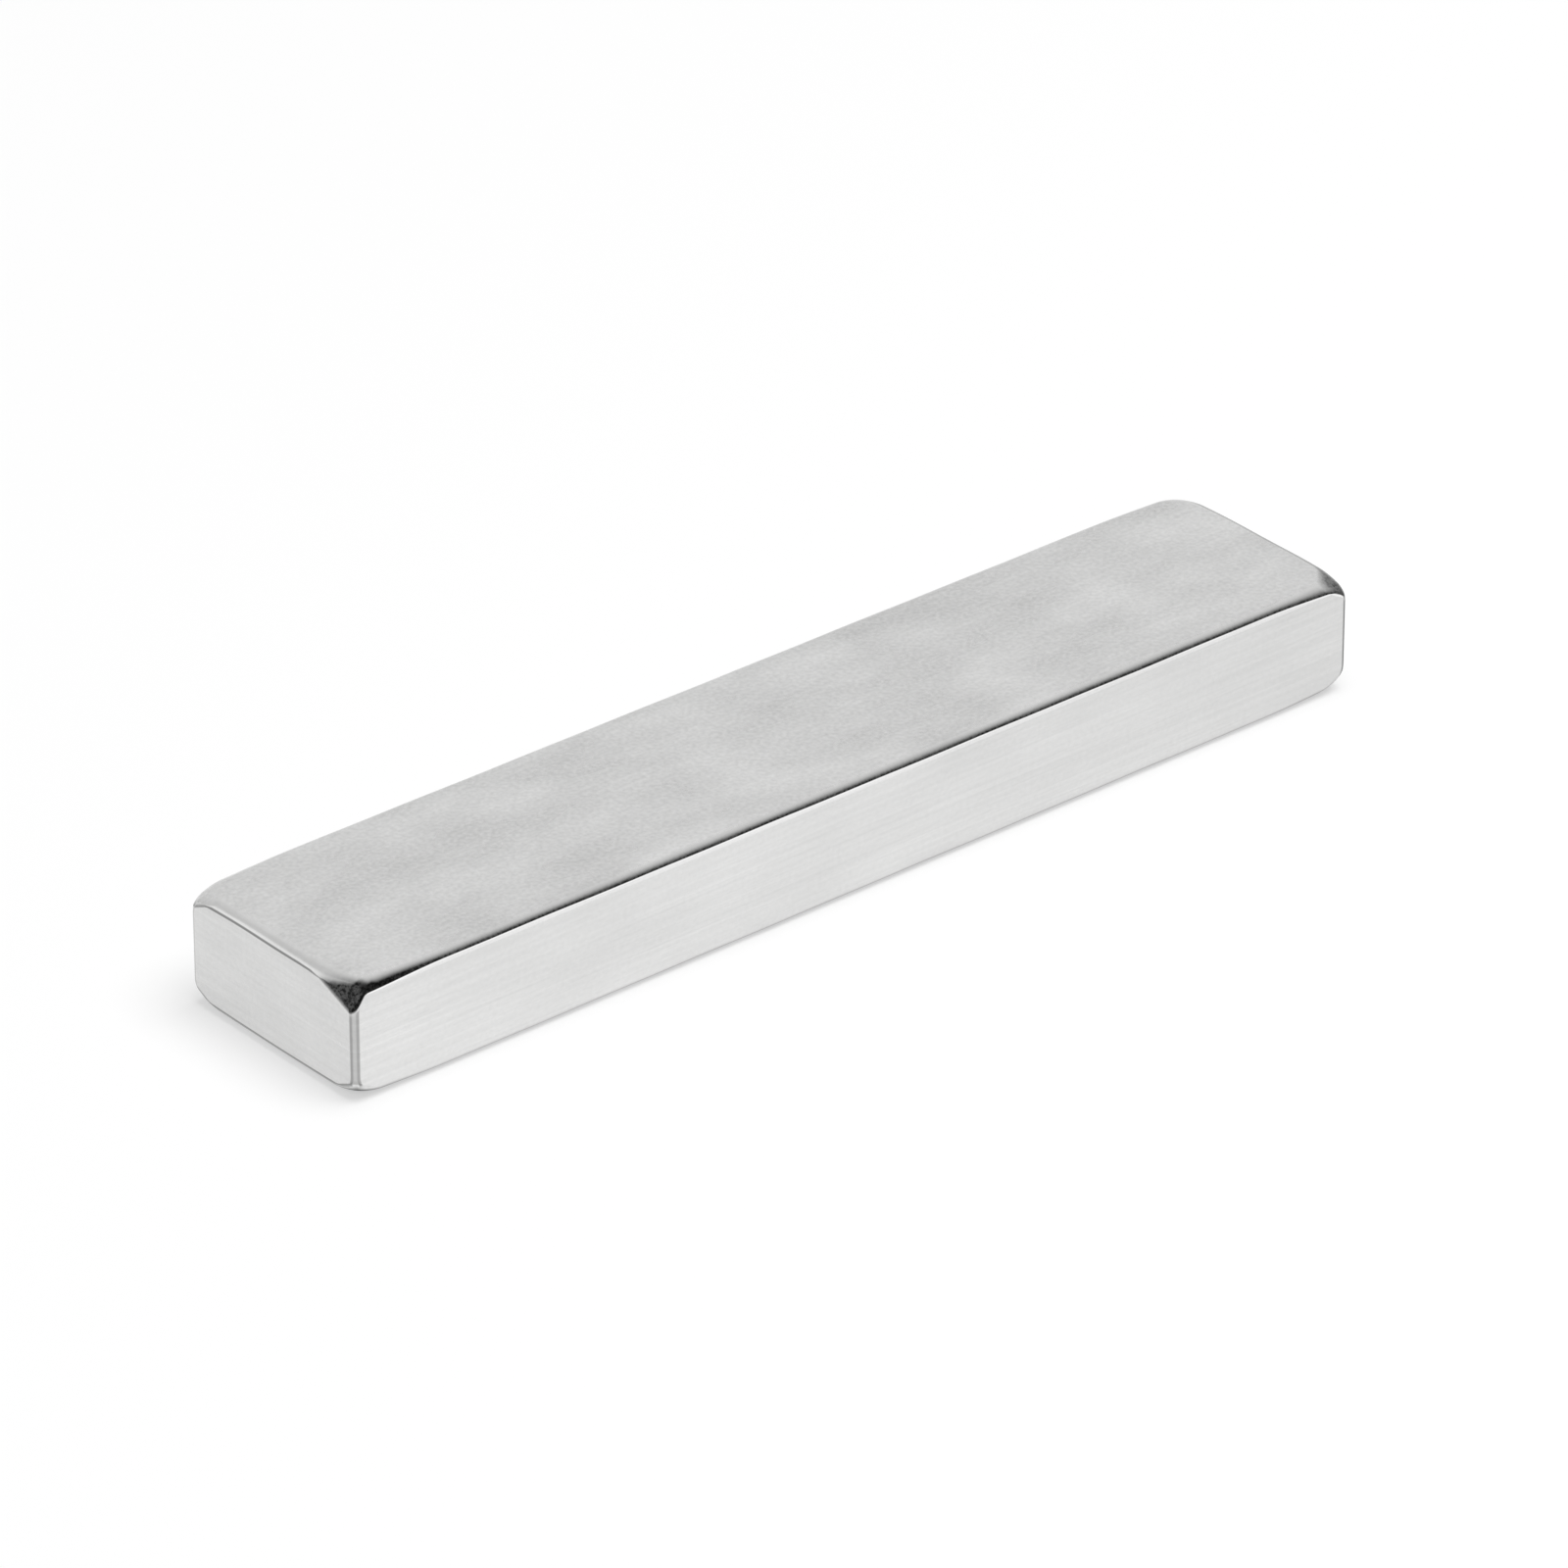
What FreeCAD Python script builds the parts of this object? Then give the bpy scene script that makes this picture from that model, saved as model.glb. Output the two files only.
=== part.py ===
import FreeCAD, Part
import os

# Block, in millimetres: X runs along it, Y across it, Z through its thickness.
# The origin is the centre of the bottom face. The poles are the bottom and top faces.
length = 20.0
width = 4.0
thickness = 2.0

# Edge radii half way along each edge, where tumbling wore the block least
long_edge_radius = 0.15
end_edge_radius = 0.20
upright_edge_radius = 0.12

# The radius that every edge grows to at a corner, and how far from the corner that growth starts
corner_radius = 0.28
long_edge_wear = 1.8
end_edge_wear = 1.3
upright_edge_wear = 0.6

# The facet worn on each corner: how far it reaches along X, Y and Z from the sharp corner,
# and the radius that blends it into the faces and edges round it
facet_x = 0.46
facet_y = 0.68
facet_z = 0.36
facet_blend_radius = 0.09

extent = (length, width, thickness)
middle_radius = (long_edge_radius, end_edge_radius, upright_edge_radius)
wear = (long_edge_wear, end_edge_wear, upright_edge_wear)
facet_reach = (facet_x, facet_y, facet_z)
both_sides = (-1, 1)
same_place = 1e-6


def in_part(place):
    """A place given from the centre of the block, as a point in the frame of the part."""
    return FreeCAD.Vector(place[0], place[1], place[2] + thickness / 2)


def stations(axis):
    """Places along an edge where its radius is set: a corner, both ends of the wear, a corner."""
    corner = extent[axis] / 2
    wear_end = corner - wear[axis]
    return [-corner, -wear_end, wear_end, corner]


def sharp_face(axis, side):
    """One face of the unworn block, with a vertex at each station of its four edges."""
    u_axis, v_axis = [other for other in range(3) if other != axis]
    u_places = stations(u_axis)
    v_places = stations(v_axis)
    outline = [(u, v_places[0]) for u in u_places[:-1]]
    outline += [(u_places[-1], v) for v in v_places[:-1]]
    outline += [(u, v_places[-1]) for u in reversed(u_places[1:])]
    outline += [(u_places[0], v) for v in reversed(v_places)]
    points = []
    for u, v in outline:
        place = [u, v]
        place.insert(axis, side * extent[axis] / 2)
        points.append(in_part(place))
    return Part.Face(Part.makePolygon(points))


def sharp_block():
    faces = [sharp_face(axis, side) for axis in range(3) for side in both_sides]
    return Part.makeSolid(Part.makeShell(faces))


def radius_at(axis, point):
    """The radius of an edge that runs along an axis, at one of its stations."""
    place = (point.x, point.y, point.z - thickness / 2)[axis]
    at_corner = abs(abs(place) - extent[axis] / 2) < same_place
    return corner_radius if at_corner else middle_radius[axis]


def edge_radii(number, edge):
    """The number of one stretch of an edge, with the radii at its start and its end."""
    start = edge.valueAt(edge.FirstParameter)
    end = edge.valueAt(edge.LastParameter)
    run = end - start
    axis = max(range(3), key=lambda direction: abs(run[direction]))
    return number, radius_at(axis, start), radius_at(axis, end)


def with_worn_edges(block):
    """Every edge rounded, lightly in the middle and more towards the corners."""
    document = FreeCAD.newDocument()
    unworn = document.addObject("Part::Feature", "unworn")
    unworn.Shape = block
    worn = document.addObject("Part::Fillet", "worn")
    worn.Base = unworn
    worn.Edges = [edge_radii(number, edge) for number, edge in enumerate(unworn.Shape.Edges, start=1)]
    document.recompute()
    return worn.Shape.Solids[0]


def facet_cutter(corner):
    """A disc that stands on the plane of one corner facet and covers all outside it."""
    feet = []
    for axis in range(3):
        place = [side * size / 2 for side, size in zip(corner, extent)]
        place[axis] -= corner[axis] * facet_reach[axis]
        feet.append(in_part(place))
    centre = (feet[0] + feet[1] + feet[2]) / 3
    outward = FreeCAD.Vector(*[side / reach for side, reach in zip(corner, facet_reach)])
    cutter_size = max(facet_reach)
    return Part.makeCylinder(cutter_size, cutter_size, centre, outward)


def is_facet(face):
    """A flat face that is square to none of the axes."""
    if not isinstance(face.Surface, Part.Plane):
        return False
    normal = face.Surface.Axis
    return max(abs(normal.x), abs(normal.y), abs(normal.z)) < 1 - same_place


def with_corner_facets(block):
    """Each corner worn to a small facet, blended into what is round it."""
    cutters = [facet_cutter((x, y, z)) for x in both_sides for y in both_sides for z in both_sides]
    cut = block.cut(cutters).Solids[0]
    rims = [edge for face in cut.Faces if is_facet(face) for edge in face.Edges]
    return cut.makeFillet(facet_blend_radius, rims).Solids[0]


block_magnet = with_corner_facets(with_worn_edges(sharp_block()))
os.makedirs("parts", exist_ok=True)
block_magnet.exportStep("parts/block_magnet.step")
print("block_magnet", round(block_magnet.Volume, 3), "cubic mm, valid:", block_magnet.isValid())
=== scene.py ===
import bpy
import numpy as np
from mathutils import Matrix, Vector


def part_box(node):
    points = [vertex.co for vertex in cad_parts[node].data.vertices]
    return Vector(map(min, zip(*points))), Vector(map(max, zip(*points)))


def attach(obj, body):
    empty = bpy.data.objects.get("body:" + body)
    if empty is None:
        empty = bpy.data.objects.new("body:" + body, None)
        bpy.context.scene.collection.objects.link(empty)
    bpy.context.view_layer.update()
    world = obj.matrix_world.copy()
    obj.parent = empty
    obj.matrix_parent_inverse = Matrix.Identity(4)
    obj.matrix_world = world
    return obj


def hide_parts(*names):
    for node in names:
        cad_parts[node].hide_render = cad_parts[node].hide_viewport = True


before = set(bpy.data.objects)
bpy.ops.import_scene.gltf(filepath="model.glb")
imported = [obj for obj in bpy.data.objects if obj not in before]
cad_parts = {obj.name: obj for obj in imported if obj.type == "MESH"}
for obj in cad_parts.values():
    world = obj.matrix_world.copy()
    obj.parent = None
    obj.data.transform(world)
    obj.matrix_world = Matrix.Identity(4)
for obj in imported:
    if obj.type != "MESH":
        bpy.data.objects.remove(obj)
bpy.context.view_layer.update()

# A millimetre in metres, and the numbers of the axes
MM = 0.001
X, Y, Z = range(3)

# The block, from the frame: its centre and half its length, width and thickness, in millimetres
low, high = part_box("block_magnet")
CENTRE = np.array((low + high) / 2) / MM
HALF = np.array((high - low) / 2) / MM

# Wear of the edges, in millimetres: the radius half way along the edges that run along X, Y and Z,
# the radius that all grow to at a corner, how far from the corner that growth starts, and its bend
MIDDLE_RADIUS = np.array((0.16, 0.22, 0.12))
CORNER_RADIUS = 0.28
WEAR = np.array((1.8, 1.3, 0.45))
GROWTH_BEND = 1.3

# Unevenness of the edges: its share of the radius, and three slow waves, each given by how fast it
# turns along X, Y and Z and by where it starts
EDGE_UNEVEN = 0.07
WAVES = np.array(((1.3, 0.0, 0.0, 0.7), (2.9, 1.1, 0.0, 0.0), (0.0, 3.7, 2.0, 0.4)))

# Facet worn on each corner, in millimetres: its reach along X, Y and Z, the radius that blends it into
# what is round it, and the border in which its tone fades
FACET = np.array((0.54, 0.61, 0.28))
FACET_BLEND = 0.09
FACET_BORDER = 0.07

# The top corner nearest to the camera has a steeper and crisper facet. Its radius widens towards the pole,
# above a depth. Its dull finish and its painted shade start below a line that rises away from the end, and
# fade in there
NEAR_CORNER = (-1, -1, 1)
NEAR_FACET = np.array((0.33, 1.15, 0.455))
NEAR_BLEND = 0.04
WIDE_BLEND = 0.16
WIDE_DEPTH = 0.16
NEAR_DULL_SHADE_TOP = 0.119
NEAR_DULL_SHADE_RISE = 0.46
NEAR_DULL_SHADE_FADE = 0.08

# Mesh lines: close together near an edge, wider across the worn corner, widest on the flat
FINE_STEP, FINE_RUN = 0.015, 0.24
CORNER_STEP, CORNER_RUN = 0.03, 0.84
FLAT_STEP = 0.22

# Search for the worn surface, in millimetres: how deep it reaches, how often it halves that, what counts
# as on the surface, and the step that finds the way a place faces
CORE_DEPTH = 0.85
HALVINGS = 40
ON_SURFACE = 1e-9
SLOPE_STEP = 0.0005

# Camera, in millimetres in the part's frame, its lens on a 36 mm sensor, and its range in metres
CAMERA_PLACE = (-92.55, -110.13, 81.92)
CAMERA_AIM = (0.0, 0.0, 1.0)
CAMERA_LENS = 245.0
CAMERA_RANGE = (0.01, 10.0)

# Floor, in metres, and how white it looks to the camera and in the metal
FLOOR_SIZE = 4.0
FLOOR_DROP = 0.00002
FLOOR_COLOUR = 0.90
FLOOR_WHITE = 0.5
FLOOR_MIRRORED = 0.8

# The floor in the metal has a painted shadow under the block, across a border from its outline, and painted
# shade a little towards the far end, over a run along X. Both are in millimetres
MIRRORED_SHADOW_BORDER = (-0.30, 0.12)
MIRRORED_SHADE_RUN = (-8, 14)
MIRRORED_FAR_SHADE = 0.88

# Lamp above the floor, in metres and watts
LAMP_PLACE = (0.05, -0.09, 0.38)
LAMP_SIZE = 0.36
LAMP_POWER = 1.45

# Room: its light on the floor, and the tones that the metal mirrors to the left, in the middle and to
# the right, with the borders between them by how far a direction points to the right
AMBIENT = 0.36
ROOM_TONES = (1.0, 0.68, 0.80)
ROOM_LEFT_BORDER = (-0.66, -0.50)
ROOM_RIGHT_BORDER = (-0.45, 0.10)

# Nickel plate: its colour and tone, the painted shade of its ends, which makes them darker to stand in for
# their dimmer reflection, and how far each pattern changes the tone, first on the sides and then on the
# poles
NICKEL = (0.79, 0.79, 0.785)
PLATE_TONE = 0.97
END_TONE = 0.88
CLOUD_AMOUNT = (0.14, 0.45)
LINE_AMOUNT = (0.21, 0.06)
GRAIN_AMOUNT = (0.10, 0.32)

# Waves of each pattern in a millimetre along X, Y and Z
CLOUD_WAVES = (0.5, 0.9, 0.9)
GRAIN_WAVES = (13.0, 13.0, 13.0)
SIDE_LINE_WAVES = (0.15, 0.40, 13.0)
POLE_LINE_WAVES = (0.25, 9.0, 1.0)
WORN_GRAIN_WAVES = (20.0, 20.0, 20.0)

# Roughness of the edges, of the sides and the poles with what the pattern adds, and of the facets, where
# the grain changes it between two limits
EDGE_ROUGHNESS = 0.12
SIDE_ROUGHNESS = (0.20, 0.10)
POLE_ROUGHNESS = (0.24, 0.08)
FACET_ROUGHNESS = (0.12, 0.28)
ROUGH_GRAIN_LIMITS = (0.35, 0.65)

# Relief: its depth in millimetres and its strength, and the share that each pattern has in it, first
# on the sides and then on the poles
RELIEF_DEPTH = 0.002
RELIEF_STRENGTH = 0.25
LINE_RELIEF = (0.6, 0.15)
GRAIN_RELIEF = (0.35, 0.15)
WORN_RELIEF = 0.9

# Limits on how far the surface faces along an axis, from 0 to 1: where a part of the block starts to
# count as pole, flat or end, and from where an edge counts as an end edge and not as an upright one
POLE_LIMITS = (0.90, 0.999)
FLAT_LIMITS = (0.93, 0.998)
END_LIMITS = (0.80, 0.98)
TILT_LIMITS = (0.05, 0.15)

# Grey lines of painted shade, standing in for reflections, along both borders of the edges round the ends:
# their tone, how much the turn counts and where the line lets go, each for the upright edges and then the
# end edges, and what is left of it between the borders. The turn goes from 0 on a face to about 0.7 half way
# round an edge
GREY_TONE = (0.51, 0.35)
GREY_TURN = (1.0, 1.35)
GREY_START = (0.0, 0.26)
GREY_RELEASE = (0.43, 0.50)
GREY_RELEASE_RUN = 0.17
GREY_BETWEEN = (0.62, 0.0)
GREY_BETWEEN_LIMITS = (0.2, 0.4)

# Where the grey lines fade: towards the poles, by how much more the surface faces up than endwards,
# to a share of them on the back, and to none on the upper long edges
GREY_POLE_LIMITS = (-0.1, 0.2)
GREY_BACK = 0.3
GREY_BACK_LIMITS = (0.1, 0.3)
LONG_EDGE_UP_LIMITS = (0.02, 0.08)
LONG_EDGE_SIDE_LIMITS = (0.3, 0.6)

# Painted shade on the edges round the far end, darker by how far they face that way
FAR_TONE = 0.20
FAR_START = (0.15, 0.45)
FAR_STOP = (0.75, 0.95)

# Painted dark line along the upper long edges, a painted reflection of dark surroundings: its tone and upper
# limit along the block and near the near end, its other limits, and how much higher and wider it is on the
# near tip. Runs are in millimetres
DARK_TONE = (0.06, 0.02)
DARK_START = (0.20, 0.28)
DARK_TOP = (0.42, 0.66)
DARK_TIP_TOP = 0.83
DARK_STOP = 0.98
DARK_SIDE_LIMITS = (0.15, 0.45)
DARK_TIP_SIDE_LIMITS = (0.02, 0.20)
NEAR_END_RUN = (0.5, 2.0)
TIP_RUN_X = (0.30, 0.52)
TIP_RUN_Y = (0.18, 0.32)

# Painted highlight below the dark line: on the lower part of the edge, and on a strip of the side next to
# it, at a depth in millimetres below the top
LIGHT_TONE = 1.30
LIGHT_START = (0.01, 0.06)
LIGHT_STOP = (0.22, 0.40)
LIGHT_END_LIMITS = (0.3, 0.6)
STRIP_TONE = 1.14
STRIP_DEPTH = (0.21, 0.165)
STRIP_SIDE_LIMITS = (0.80, 0.95)

# Tone of the facets: the bright ones, and the painted shade of the ones that face the front and up, darkest
# at the near end. The grain changes both
BRIGHT_TONE = (0.85, 1.0)
BRIGHT_GRAIN = (0.30, 0.70)
DIM_NEAR_TONE = (0.02, 0.06)
DIM_FAR_TONE = 0.14
DIM_FRONT_LIMITS = (-0.15, 0.0)
DIM_UP_LIMITS = (0.0, 0.2)
DIM_END_LIMITS = (-0.2, 0.2)
DIM_NEAR_LIMITS = (-0.5, -0.2)
WORN_GRAIN_SPREAD = (0.3, 1.8)
WORN_GRAIN_LIMITS = (0.36, 0.64)


def mesh_lines(half):
    """Places of the mesh lines along one axis, from -half to half."""
    near_edge = np.arange(0, FINE_RUN, FINE_STEP)
    near_corner = np.arange(FINE_RUN, min(CORNER_RUN, half), CORNER_STEP)
    offsets = np.concatenate((near_edge, near_corner))
    inner = half - offsets[-1] - CORNER_STEP
    flat = np.linspace(-inner, inner, max(2, round(2 * inner / FLAT_STEP)))
    return np.concatenate((offsets - half, flat, (half - offsets)[::-1]))


def growth(run):
    """How much of its extra radius an edge has: 0 where the wear starts, 1 at the corner."""
    t = np.clip(run, 0, 1)
    return t * t * (1 + GROWTH_BEND * (1 - t))


def waviness(places):
    """A slow unevenness along the edges, between -1 and 1."""
    return np.sin(places @ WAVES[:, :3].T + WAVES[:, 3]).mean(axis=1)


def edge_radius(places, inward):
    """The radius of the edge nearest to each place."""
    middle = MIDDLE_RADIUS / CORNER_RADIUS
    run = (inward - (HALF - WEAR)) / WEAR
    share = middle + (1 - middle) * growth(run)
    return CORNER_RADIUS * share.prod(axis=1) * (1 + EDGE_UNEVEN * waviness(places))


def rounded(first, second, radius):
    """Where two surfaces given by their distances meet, rounded by a radius."""
    outside = np.hypot(np.maximum(radius + first, 0), np.maximum(radius + second, 0))
    return np.minimum(-radius, np.maximum(first, second)) + outside


def near_corner(places):
    """True for places in the eighth of the block round the top corner nearest to the camera."""
    return (places * NEAR_CORNER > 0).all(axis=1)


def facet_distance(places, inward):
    """Distance from the plane of the corner facet on the same side of the block."""
    slope = 1 / np.where(near_corner(places)[:, None], NEAR_FACET, FACET)
    steepness = np.linalg.norm(slope, axis=1)
    return (((inward - HALF) * slope).sum(axis=1) + 1) / steepness


def surface_distance(places):
    """Distance from the worn surface, in millimetres, for places given from the block's centre."""
    inward = np.abs(places)
    radius = edge_radius(places, inward)
    reach = radius[:, None] + inward - HALF
    block = np.minimum(-radius, (inward - HALF).max(axis=1)) + np.linalg.norm(np.maximum(reach, 0), axis=1)
    depth = (HALF - inward)[:, Z]
    near_blend = NEAR_BLEND + (WIDE_BLEND - NEAR_BLEND) * np.clip(1 - depth / WIDE_DEPTH, 0, 1)
    blend = np.where(near_corner(places), near_blend, FACET_BLEND)
    return rounded(block, facet_distance(places, inward), blend)


def worn_places(sharp):
    """Moves places from the sharp block inwards to its worn surface."""
    core = np.clip(sharp, CORE_DEPTH - HALF, HALF - CORE_DEPTH)
    inward = core - sharp
    near = np.zeros(len(sharp))
    far = np.ones(len(sharp))
    for halving in range(HALVINGS):
        middle = (near + far) / 2
        outside = surface_distance(sharp + inward * middle[:, None]) > ON_SURFACE
        near = np.where(outside, middle, near)
        far = np.where(outside, far, middle)
    return sharp + inward * far[:, None]


def surface_normals(places):
    """Unit normals of the worn surface, from how the distance changes round each place."""
    slope = np.empty_like(places)
    for axis in range(3):
        shift = np.zeros(3)
        shift[axis] = SLOPE_STEP
        slope[:, axis] = surface_distance(places + shift) - surface_distance(places - shift)
    return slope / np.linalg.norm(slope, axis=1)[:, None]


def facet_share(places):
    """How much of the facets' grain, roughness and tone, with the painted shade of the dim ones, each place
    of the surface has, from 0 to 1.
    """
    inward = np.abs(places)
    share = np.clip(1 + facet_distance(places, inward) / FACET_BORDER, 0, 1)
    depth = HALF - inward
    # The near facet's dull finish and painted shade start below a line that rises away from the end
    below_line = depth[:, Z] + NEAR_DULL_SHADE_RISE * depth[:, X] - NEAR_DULL_SHADE_TOP
    dull_and_shade = np.clip(below_line / NEAR_DULL_SHADE_FADE, 0, 1)
    return share * np.where(near_corner(places), dull_and_shade, 1)


def block_grid():
    """The sharp block as a grid of quads: its vertices, from its centre, and its faces."""
    lines = [mesh_lines(half) for half in HALF]
    number = {}
    vertices = []
    quads = []

    def vertex(key):
        if key not in number:
            number[key] = len(vertices)
            vertices.append([lines[axis][key[axis]] for axis in range(3)])
        return number[key]

    for axis in range(3):
        u_axis, v_axis = (axis + 1) % 3, (axis + 2) % 3
        for end in (0, len(lines[axis]) - 1):
            for u in range(len(lines[u_axis]) - 1):
                for v in range(len(lines[v_axis]) - 1):
                    corners = []
                    for du, dv in ((0, 0), (1, 0), (1, 1), (0, 1)):
                        key = [0, 0, 0]
                        key[axis], key[u_axis], key[v_axis] = end, u + du, v + dv
                        corners.append(vertex(tuple(key)))
                    quads.append(corners if end else corners[::-1])
    return np.array(vertices), quads


def make_magnet():
    """The block with its worn edges and corners, as one fine mesh."""
    sharp, quads = block_grid()
    places = worn_places(sharp)
    normals = surface_normals(places)
    mesh = bpy.data.meshes.new("magnet_block")
    mesh.from_pydata([tuple(p) for p in (places + CENTRE) * MM], [], quads)
    mesh.update()
    mesh.shade_smooth()
    mesh.normals_split_custom_set_from_vertices([tuple(n) for n in normals])
    facet = mesh.attributes.new("facet", "FLOAT", "POINT")
    facet.data.foreach_set("value", facet_share(places).astype(np.float32))
    magnet = bpy.data.objects.new("magnet_block", mesh)
    bpy.context.collection.objects.link(magnet)
    return magnet


class Nodes:
    """Short ways to build a node tree."""

    def __init__(self, tree):
        self.tree = tree
        tree.nodes.clear()

    def add(self, kind, **settings):
        node = self.tree.nodes.new("ShaderNode" + kind)
        for name, value in settings.items():
            setattr(node, name, value)
        return node

    def put(self, value, socket):
        if isinstance(value, bpy.types.NodeSocket):
            self.tree.links.new(value, socket)
        else:
            socket.default_value = value

    def axes(self, vector):
        """The X, Y and Z of a vector."""
        node = self.add("SeparateXYZ")
        self.put(vector, node.inputs[0])
        return list(node.outputs)

    def math(self, operation, *values):
        node = self.add("Math", operation=operation)
        for value, socket in zip(values, node.inputs):
            self.put(value, socket)
        return node.outputs[0]

    def product(self, first, *others):
        for other in others:
            first = self.math("MULTIPLY", first, other)
        return first

    def ramp(self, value, limits, levels=(0.0, 1.0)):
        """A smooth step from one level to the other while a value passes two limits."""
        node = self.add("MapRange", interpolation_type="SMOOTHSTEP")
        names = ("Value", "From Min", "From Max", "To Min", "To Max")
        for name, given in zip(names, (value, *limits, *levels)):
            self.put(given, node.inputs[name])
        return node.outputs["Result"]

    def fade(self, value, limits):
        """A smooth step from 1 to 0."""
        return self.ramp(value, limits, (1.0, 0.0))

    def mix(self, share, first, second):
        return self.math("ADD", self.product(first, self.math("SUBTRACT", 1.0, share)),
                         self.product(second, share))

    def tint(self, shade, share, tone):
        """A shade that is multiplied by a tone where the share is 1, and kept where it is 0."""
        return self.product(shade, self.mix(share, 1.0, tone))

    def vary(self, shade, amount, pattern):
        """A shade that a pattern makes a little lighter and darker."""
        return self.math("ADD", shade, self.product(amount, self.math("SUBTRACT", pattern, 0.5)))

    def noise(self, place, waves, detail, roughness):
        """Noise between about 0 and 1, with so many waves in a millimetre along X, Y and Z."""
        scaled = self.add("VectorMath", operation="MULTIPLY")
        self.put(place, scaled.inputs[0])
        scaled.inputs[1].default_value = [count / MM for count in waves]
        node = self.add("TexNoise", noise_dimensions="3D")
        node.inputs["Scale"].default_value = 1.0
        node.inputs["Detail"].default_value = detail
        node.inputs["Roughness"].default_value = roughness
        self.put(scaled.outputs[0], node.inputs["Vector"])
        return node.outputs["Fac"]


class Spot:
    """What the plate's look depends on at each spot: the way it faces, where it lies and its patterns."""

    def __init__(self, make):
        place = make.add("TexCoord").outputs["Object"]
        self.at = make.axes(place)
        self.facing = make.axes(make.add("NewGeometry").outputs["Normal"])
        self.endward, self.sideward, self.upward = [make.math("ABSOLUTE", way) for way in self.facing]
        across = make.math("MAXIMUM", self.endward, self.sideward)
        self.pole = make.ramp(self.upward, POLE_LIMITS)
        self.flatness = make.ramp(make.math("MAXIMUM", self.upward, across), FLAT_LIMITS)
        self.end = make.ramp(self.endward, END_LIMITS)
        self.facet = make.add("Attribute", attribute_name="facet").outputs["Fac"]
        self.near_end = make.fade(self.at[X], depths(X, -1, NEAR_END_RUN))
        self.tip = make.product(make.fade(self.at[X], depths(X, -1, TIP_RUN_X)),
                                make.fade(self.at[Y], depths(Y, -1, TIP_RUN_Y)))

        self.clouds = make.noise(place, CLOUD_WAVES, detail=2.0, roughness=0.55)
        self.grain = make.noise(place, GRAIN_WAVES, detail=1.0, roughness=0.5)
        side_lines = make.noise(place, SIDE_LINE_WAVES, detail=3.0, roughness=0.7)
        pole_lines = make.noise(place, POLE_LINE_WAVES, detail=3.0, roughness=0.6)
        self.lines = make.mix(self.pole, side_lines, pole_lines)
        self.worn_grain = make.noise(place, WORN_GRAIN_WAVES, detail=2.0, roughness=0.7)
        self.speckle = make.ramp(self.worn_grain, WORN_GRAIN_LIMITS, WORN_GRAIN_SPREAD)


def depths(axis, side, runs):
    """Places along an axis, in metres, that lie two runs inside the block's face on one side."""
    return [(CENTRE[axis] + side * (HALF[axis] - run)) * MM for run in runs]


def grey_line(make, spot):
    """Share of the painted grey shade lines along both borders of the end edges and the upright edges."""
    turn = make.math("MINIMUM", spot.endward, make.math("MAXIMUM", spot.upward, spot.sideward))
    turn = make.product(turn, make.ramp(spot.upward, TILT_LIMITS, GREY_TURN))
    release = make.ramp(spot.upward, TILT_LIMITS, GREY_RELEASE)
    released = make.math("ADD", release, GREY_RELEASE_RUN)
    between = make.ramp(spot.upward, GREY_BETWEEN_LIMITS, GREY_BETWEEN)
    long_edge = make.product(make.ramp(spot.facing[Z], LONG_EDGE_UP_LIMITS),
                             make.ramp(spot.sideward, LONG_EDGE_SIDE_LIMITS))
    return make.product(make.ramp(turn, GREY_START),
                        make.ramp(turn, (release, released), (1.0, between)),
                        make.fade(make.math("SUBTRACT", spot.upward, spot.endward), GREY_POLE_LIMITS),
                        make.ramp(spot.facing[Y], GREY_BACK_LIMITS, (1.0, GREY_BACK)),
                        make.math("SUBTRACT", 1.0, long_edge))


def dark_line(make, spot):
    """Share of the painted dark line, a painted reflection, along the upper long edges."""
    top = make.mix(spot.tip, make.mix(spot.near_end, *DARK_TOP), DARK_TIP_TOP)
    side_limits = [make.mix(spot.tip, *pair) for pair in zip(DARK_SIDE_LIMITS, DARK_TIP_SIDE_LIMITS)]
    return make.product(make.ramp(spot.facing[Z], DARK_START),
                        make.fade(spot.facing[Z], (top, DARK_STOP)),
                        make.ramp(spot.sideward, side_limits))


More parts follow.
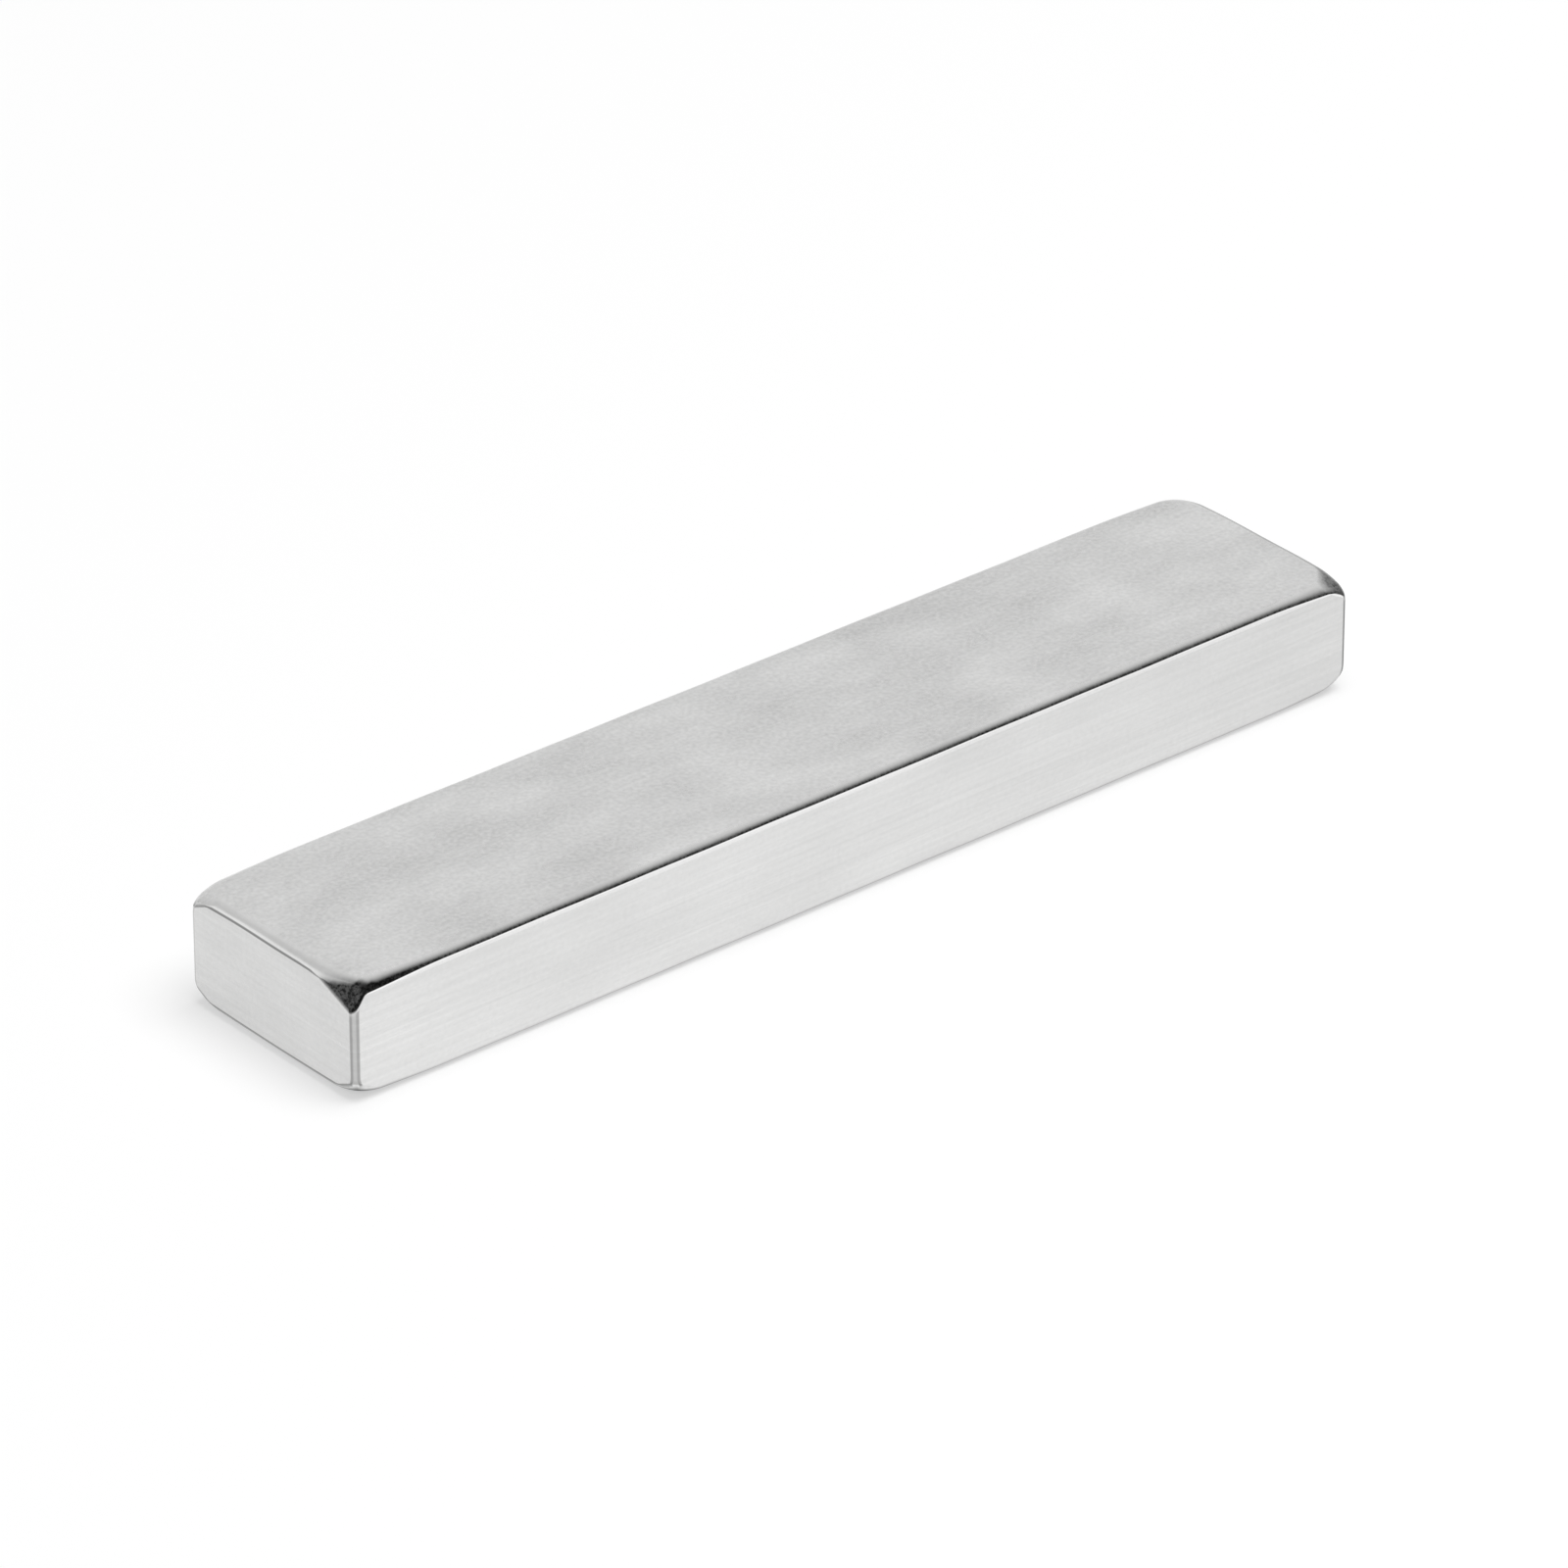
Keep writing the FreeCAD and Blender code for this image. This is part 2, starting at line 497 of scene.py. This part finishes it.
def plate_shade(make, spot):
    """How light the plate is outside the facets, with painted shade on its ends and painted dark and light
    lines, standing in for reflections, along its edges.
    """
    shade = make.vary(PLATE_TONE, make.mix(spot.pole, *CLOUD_AMOUNT), spot.clouds)
    shade = make.vary(shade, make.mix(spot.pole, *LINE_AMOUNT), spot.lines)
    shade = make.vary(shade, make.mix(spot.pole, *GRAIN_AMOUNT), spot.grain)
    # Painted shade: the ends are darker, standing in for their dimmer reflection
    shade = make.tint(shade, spot.end, END_TONE)
    # Painted shade: grey lines along the borders of the end and upright edges, standing in for reflections
    shade = make.tint(shade, grey_line(make, spot), make.ramp(spot.upward, TILT_LIMITS, GREY_TONE))
    # Painted shade on the edges round the far end
    far_edge = make.product(make.ramp(spot.facing[X], FAR_START), make.fade(spot.facing[X], FAR_STOP))
    shade = make.tint(shade, far_edge, FAR_TONE)
    # Painted reflection: a dark line along the upper long edges, speckled by the grain
    dark_tone = make.product(make.mix(spot.near_end, *DARK_TONE), spot.speckle)
    shade = make.tint(shade, dark_line(make, spot), dark_tone)
    # Painted highlight: a light line below the dark one
    light_line = make.product(make.ramp(spot.facing[Z], LIGHT_START),
                              make.fade(spot.upward, LIGHT_STOP),
                              make.fade(spot.endward, LIGHT_END_LIMITS))
    shade = make.tint(shade, light_line, LIGHT_TONE)
    # Painted highlight on a strip of the side below the top
    strip = make.product(make.ramp(spot.at[Z], depths(Z, 1, STRIP_DEPTH)),
                         make.fade(spot.upward, LIGHT_START),
                         make.ramp(spot.sideward, STRIP_SIDE_LIMITS))
    return make.tint(shade, strip, STRIP_TONE)


def facet_shade(make, spot):
    """How light the facets are: grainy on the bright ones, with painted shade on those that face the front
    and up.
    """
    # Painted shade on the facets that face the front and up, darkest at the near end
    dim = make.product(make.fade(spot.facing[Y], DIM_FRONT_LIMITS), make.ramp(spot.facing[Z], DIM_UP_LIMITS))
    near_tone = make.ramp(spot.facing[Y], DIM_NEAR_LIMITS, DIM_NEAR_TONE)
    dim_tone = make.ramp(spot.facing[X], DIM_END_LIMITS, (near_tone, DIM_FAR_TONE))
    bright_tone = make.ramp(spot.worn_grain, BRIGHT_GRAIN, BRIGHT_TONE)
    return make.mix(dim, bright_tone, make.product(dim_tone, spot.speckle))


def plate_roughness(make, spot):
    """Satin poles, ground sides, and smoother edges and facets."""
    side, side_gain = SIDE_ROUGHNESS
    pole, pole_gain = POLE_ROUGHNESS
    ground = make.math("ADD", side, make.product(side_gain, spot.lines))
    satin = make.math("ADD", pole, make.product(pole_gain, spot.clouds))
    rough = make.mix(spot.flatness, EDGE_ROUGHNESS, make.mix(spot.pole, ground, satin))
    return make.mix(spot.facet, rough, make.ramp(spot.worn_grain, ROUGH_GRAIN_LIMITS, FACET_ROUGHNESS))


def plate_relief(make, spot):
    """Height of the fine lines and grain on the flats, and of the grain on the facets."""
    lines = make.product(spot.lines, make.mix(spot.pole, *LINE_RELIEF))
    grain = make.product(spot.grain, make.mix(spot.pole, *GRAIN_RELIEF))
    flat_relief = make.product(make.math("ADD", lines, grain), spot.flatness)
    return make.math("ADD", flat_relief, make.product(spot.worn_grain, WORN_RELIEF, spot.facet))


def nickel_material():
    """Bright nickel plate: satin poles, ground sides and grainier facets, with painted shade, painted dark
    lines and painted highlights on its ends, edges and front facets.
    """
    material = bpy.data.materials.new("nickel_plate")
    material.use_nodes = True
    make = Nodes(material.node_tree)
    spot = Spot(make)

    colour = make.add("VectorMath", operation="SCALE")
    colour.inputs[0].default_value = NICKEL
    shade = make.mix(spot.facet, plate_shade(make, spot), facet_shade(make, spot))
    make.put(shade, colour.inputs["Scale"])

    bump = make.add("Bump")
    bump.inputs["Strength"].default_value = RELIEF_STRENGTH
    bump.inputs["Distance"].default_value = RELIEF_DEPTH * MM
    make.put(plate_relief(make, spot), bump.inputs["Height"])

    surface = make.add("BsdfPrincipled")
    surface.inputs["Metallic"].default_value = 1.0
    make.put(colour.outputs[0], surface.inputs["Base Color"])
    make.put(plate_roughness(make, spot), surface.inputs["Roughness"])
    make.put(bump.outputs["Normal"], surface.inputs["Normal"])
    make.put(surface.outputs["BSDF"], make.add("OutputMaterial").inputs["Surface"])
    return material


def floor_material():
    """Pale and plain, whiter to the camera and in the metal than its shading alone, with a painted shadow
    under the block and painted shade towards the far end where the metal mirrors it.
    """
    material = bpy.data.materials.new("floor")
    material.use_nodes = True
    make = Nodes(material.node_tree)
    ray = make.add("LightPath")
    in_metal = ray.outputs["Is Glossy Ray"]
    surface = make.add("BsdfDiffuse")
    surface.inputs["Color"].default_value = (FLOOR_COLOUR, FLOOR_COLOUR, FLOOR_COLOUR, 1)

    at = make.axes(make.add("TexCoord").outputs["Object"])
    beside = make.math("MAXIMUM", *[make.math("SUBTRACT", make.math("ABSOLUTE", at[axis]), HALF[axis] * MM)
                                    for axis in (X, Y)])
    # Painted shadow under the block and painted shade towards the far end, in the floor that the metal
    # mirrors
    mirrored_with_shadow = make.product(make.ramp(beside, [run * MM for run in MIRRORED_SHADOW_BORDER]),
                            make.ramp(at[X], [run * MM for run in MIRRORED_SHADE_RUN], (1.0, MIRRORED_FAR_SHADE)))
    white = make.add("Emission")
    make.put(make.mix(in_metal, 1.0, mirrored_with_shadow), white.inputs["Strength"])

    seen = make.add("MixShader")
    share = make.mix(in_metal, make.product(ray.outputs["Is Camera Ray"], FLOOR_WHITE), FLOOR_MIRRORED)
    make.put(share, seen.inputs["Fac"])
    make.put(surface.outputs[0], seen.inputs[1])
    make.put(white.outputs[0], seen.inputs[2])
    make.put(seen.outputs[0], make.add("OutputMaterial").inputs["Surface"])
    return material


def make_floor():
    """A plain pale floor just under the magnet."""
    half = FLOOR_SIZE / 2
    mesh = bpy.data.meshes.new("floor")
    corners = [(x, y, -FLOOR_DROP) for x, y in ((-half, -half), (half, -half), (half, half), (-half, half))]
    mesh.from_pydata(corners, [], [(0, 1, 2, 3)])
    mesh.update()
    mesh.materials.append(floor_material())
    floor = bpy.data.objects.new("floor", mesh)
    bpy.context.collection.objects.link(floor)


def make_lamp():
    """A soft lamp for the floor, which the metal doesn't mirror."""
    lamp = bpy.data.lights.new("softbox", "AREA")
    lamp.shape = "DISK"
    lamp.size = LAMP_SIZE
    lamp.energy = LAMP_POWER
    softbox = bpy.data.objects.new("softbox", lamp)
    softbox.location = LAMP_PLACE
    softbox.rotation_euler = Vector(LAMP_PLACE).to_track_quat("Z", "Y").to_euler()
    softbox.visible_glossy = False
    bpy.context.collection.objects.link(softbox)


def make_room():
    """A pale room: white to the camera, even light on the floor, and soft tones in the metal."""
    world = bpy.data.worlds.new("studio")
    bpy.context.scene.world = world
    world.use_nodes = True
    make = Nodes(world.node_tree)
    rightward = make.axes(make.add("TexCoord").outputs["Generated"])[X]
    left, middle, right = ROOM_TONES
    walls = make.mix(make.ramp(rightward, ROOM_RIGHT_BORDER),
                     make.ramp(rightward, ROOM_LEFT_BORDER, (left, middle)), right)
    ray = make.add("LightPath")
    level = make.mix(ray.outputs["Is Glossy Ray"], AMBIENT, walls)
    level = make.mix(ray.outputs["Is Camera Ray"], level, 1.0)
    background = make.add("Background")
    background.inputs["Color"].default_value = (1, 1, 1, 1)
    make.put(level, background.inputs["Strength"])
    make.put(background.outputs[0], make.add("OutputWorld").inputs["Surface"])


def make_camera():
    """A long lens in the photo's direction from the block, which fills the frame with it."""
    data = bpy.data.cameras.new("camera")
    data.lens = CAMERA_LENS
    data.clip_start, data.clip_end = CAMERA_RANGE
    camera = bpy.data.objects.new("camera", data)
    camera.location = Vector(CAMERA_PLACE) * MM
    away = Vector(CAMERA_PLACE) - Vector(CAMERA_AIM)
    camera.rotation_euler = away.to_track_quat("Z", "Y").to_euler()
    bpy.context.collection.objects.link(camera)
    bpy.context.scene.camera = camera


bpy.context.scene.view_settings.view_transform = "Standard"
make_camera()
make_lamp()
make_room()
make_floor()

magnet = make_magnet()
magnet.data.materials.append(nickel_material())
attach(magnet, "root")
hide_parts("block_magnet")
